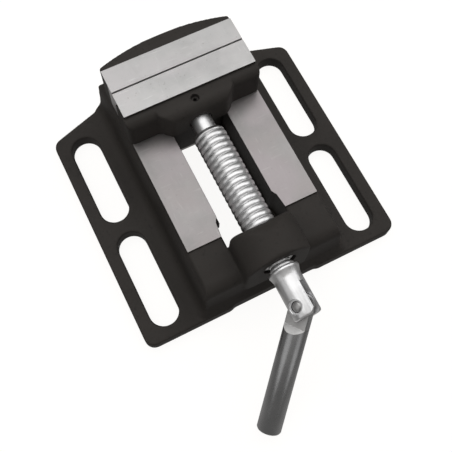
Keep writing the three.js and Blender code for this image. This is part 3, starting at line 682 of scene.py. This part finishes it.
for s, w in ((-1, "left"), (1, "right")):
    jaw_screw(f0, 1, 22 * s, f"fixed_plate_screw_{w}", "base", f"fixed_jaw_plate_screw_{w}", 0.3 * s)
    jaw_screw(g1, -1, 22 * s, f"moving_plate_screw_{w}", "sliding_jaw", f"moving_jaw_plate_screw_{w}", 0.2 + 0.4 * s)


def make_keeper():
    k = prism(rounded([(-18, 97.2, 1.5), (18, 97.2, 1.5), (18, 110, 1.5), (-18, 110, 1.5)], 5), 0.9, 5.2)
    bevel(k, 0.35, 2)
    for s in (1, -1):
        cut(k, rod(2.35, -1, 8, (6.2 * s, 103.6), "Z", 32), rod(3.9, -1, 3.6, (6.2 * s, 103.6), "Z", 40))
    return k


finish_piece(make_keeper(), "keeper", "sliding_jaw", [MILLED], ["keeper_plate"], 30)
for s, w in ((-1, "left"), (1, "right")):
    x = 6.2 * s
    o = lathe([(0, 1.1), (3.2, 1.1), (3.5, 1.4), (3.5, 2.6), (2.0, 2.6), (2.0, 15.1), (1.6, 15.5), (0, 15.5)], (x, 103.6), "Z", 48)
    cut(o, hex_prism(2.5, 0, 2.1, (x, 103.6), "Z", 0.4 * s))
    finish_piece(o, f"keeper_bolt_{w}", "sliding_jaw", [OXIDE], [f"keeper_screw_{w}"], 30)
    # split spring washer, its ends a little apart in height
    vs, fs, N = [], [], 56
    for q in range(N + 1):
        a = 0.10 + (2 * math.pi - 0.20) * q / N
        h = 0.08 * (q / N - 0.5)
        for r, z in ((2.27, 2.78), (3.5, 2.78), (3.5, 3.34), (2.27, 3.34)):
            vs.append((x + r * math.cos(a), 103.6 + r * math.sin(a), z + h))
    for q in range(N):
        for e in range(4):
            fs.append((q * 4 + e, q * 4 + (e + 1) % 4, q * 4 + 4 + (e + 1) % 4, q * 4 + 4 + e))
    fs += [(0, 1, 2, 3), (N * 4, N * 4 + 1, N * 4 + 2, N * 4 + 3)]
    finish_piece(bevel(mk("w", vs, fs), 0.07, 1), f"keeper_spring_washer_{w}", "sliding_jaw", [OXIDE], [f"keeper_washer_{w}"], 30)

o = lathe([(0, SZ + 4.2), (1.5, SZ + 4.2), (2.25, SZ + 5), (2.25, 52.75), (2.15, 52.85), (0, 52.85)], (0, 97), "Z", 40)
cut(o, hex_prism(1.9, 50.6, 56, (0, 97), "Z", 0.2))
finish_piece(o, "nose_screw", "sliding_jaw", [PAINT], ["nose_set_screw"], 30)

# ---------------------------------------------------------------------------
# Lead screw with its fork
# ---------------------------------------------------------------------------


def roll(o):
    o.data.transform(Matrix.Translation((0, 0, SZ)) @ Matrix.Rotation(ROLL, 4, "Y") @ Matrix.Translation((0, 0, -SZ)))
    return o


def make_screw():
    R, r = 8.75, 8.0
    prof = [(t, R - 0.34 * (abs(t) / 1.47) ** 2.2) for t in (-1.47, -1.25, -1.0, -0.72, -0.42, 0, 0.42, 0.72, 1.0, 1.25, 1.47)] + [(1.69, r), (1.80, r)]
    s = thread(prof, 3.8, 82.3, 64 if FINE else 36, r)
    meet(s, lathe([(0, 3.8), (7.8, 3.8), (8.9, 5.5), (8.9, 79.4), (7.7, 81.6), (6.2, 82.3), (0, 82.3)], (0, SZ), n=96))
    neck = lathe([(0, -1.2), (6.1, -1.2), (6.1, -0.05), (6.45, 0.15), (6.6, 0.5), (6.55, 1.0), (6.2, 1.3), (5.5, 1.45), (5.35, 1.75), (5.35, 2.3), (5.6, 2.5), (5.8, 2.9), (5.8, 5.0), (0, 5.0)], (0, SZ), n=96)
    head = lathe([(0, -6.0), (7.2, -6.0), (7.2, -5.7), (7.3, -4.6), (8.05, -2.2), (8.27, -1.75), (8.3, -1.35), (8.22, -0.8), (7.9, -0.45), (7.3, -0.3), (6.4, -0.25), (0, -0.25)], (0, SZ), n=96)
    nose = lathe([(0, 81.0), (5.7, 81.0), (5.7, 94.5), (3.7, 94.5), (3.7, 99.5), (5.7, 99.5), (5.7, 103), (4.9, 104), (0, 104)], (0, SZ), n=72)
    fork = lathe([(0, -26.3), (6.6, -26.3), (7.1, -26.0), (7.2, -25.5), (7.2, -5.5), (0, -5.5)], (0, SZ), n=96)
    arc = [(PIN_Y + 7.7 * math.cos(math.pi / 2 + math.pi * k / 32), SZ + 7.7 * math.sin(math.pi / 2 + math.pi * k / 32)) for k in range(33)]
    lobe = roll(prism([(0, SZ - 7.7), (0, SZ + 7.7)] + arc, -9, 9, "X"))
    meet(fork, lobe)
    slotb = roll(box(-2.65, 2.65, -30, -9.8, SZ - 12, SZ + 12))
    bevel(slotb, 0.3, 2)
    cut(fork, slotb)
    bevel(fork, 0.28, 2, 40)
    hole = roll(lathe([(0, -12), (3.9, -12), (3.9, -5.9), (3.7, -5.7), (2.85, -5.7), (2.85, 5.7), (3.7, 5.7), (3.9, 5.9), (3.9, 12), (0, 12)], (PIN_Y, SZ), "X", 48))
    cut(fork, hole)
    add(head, neck, fork)
    add(s, head, nose)
    return s


screw = make_screw()
finish_piece(screw, "lead_screw_spindle", "spindle", [ZINC], ["lead_screw"], 34)

pin = roll(lathe([(0, -6.1), (1.3, -6.0), (2.1, -5.75), (2.6, -5.3), (2.6, 5.3), (2.1, 5.75), (1.3, 6.0), (0, 6.1)], (PIN_Y, SZ), "X", 48))
finish_piece(pin, "fork_pin", "spindle", [PIN_STEEL], ["handle_pin"], 34)

# ---------------------------------------------------------------------------
# Handle
# ---------------------------------------------------------------------------


def make_handle():
    L, R = 68.0, 6.3
    bar = lathe([(0, -L + 0.05), (5.1, -L + 0.05), (5.85, -L + 0.35), (R, -L + 1.15), (R, 7), (0, 7)], (0, 0), n=96)
    arc = [(6.0 * math.cos(-math.pi / 2 + math.pi * k / 24), 6.0 * math.sin(-math.pi / 2 + math.pi * k / 24)) for k in range(25)]
    tang = prism([(-12, -6.0)] + arc + [(-12, 6.0)], -2.3, 2.3, "X")
    rest = prism([(-9, -L - 1), (9, -L - 1), (9, -15.3), (2.3, -10.9), (-2.3, -10.9), (-9, -15.3)], -9, 9)
    add(rest, tang)
    meet(bar, rest)
    bevel(bar, 0.25, 2, 40)
    cut(bar, rod(2.85, -12, 12, (0, 0), "X", 40))
    bar.data.transform(Matrix.Translation((0, PIN_Y, SZ)) @ Matrix.Rotation(DROP, 4, "X"))
    return roll(bar)


handle = make_handle()


def handle_faces(c, n):
    """The milled flats are cut metal; the slopes they run out on get a near-white copy of the same cut metal as a
    painted highlight; the bar is drawn.
    """
    ax = np.array([math.cos(ROLL), 0, -math.sin(ROLL)])            # pin axis
    dn = np.array([-math.sin(DROP) * math.sin(ROLL), -math.cos(DROP), -math.sin(DROP) * math.cos(ROLL)])
    a, q = n @ ax, n @ -dn
    along = (c - np.array([0, PIN_Y, SZ])) @ dn
    i = np.zeros(len(c), int)
    # index 2: run-out slopes, the near-white painted-highlight copy of the cut metal
    i[(np.abs(a) > 0.35) & (q > 0.3) & (along > 8) & (along < 20)] = 2
    i[(np.abs(a) > 0.95) & (along > -7) & (along < 12)] = 1
    return i


finish_piece(handle, "handle", "handle", [HANDLE, MACHINED, RUN_OUT_PAINTED_HIGHLIGHT], ["handle_bar"], 34, handle_faces)

bpy.context.view_layer.update()
sc = bpy.context.scene
sc.view_settings.view_transform = "Standard"

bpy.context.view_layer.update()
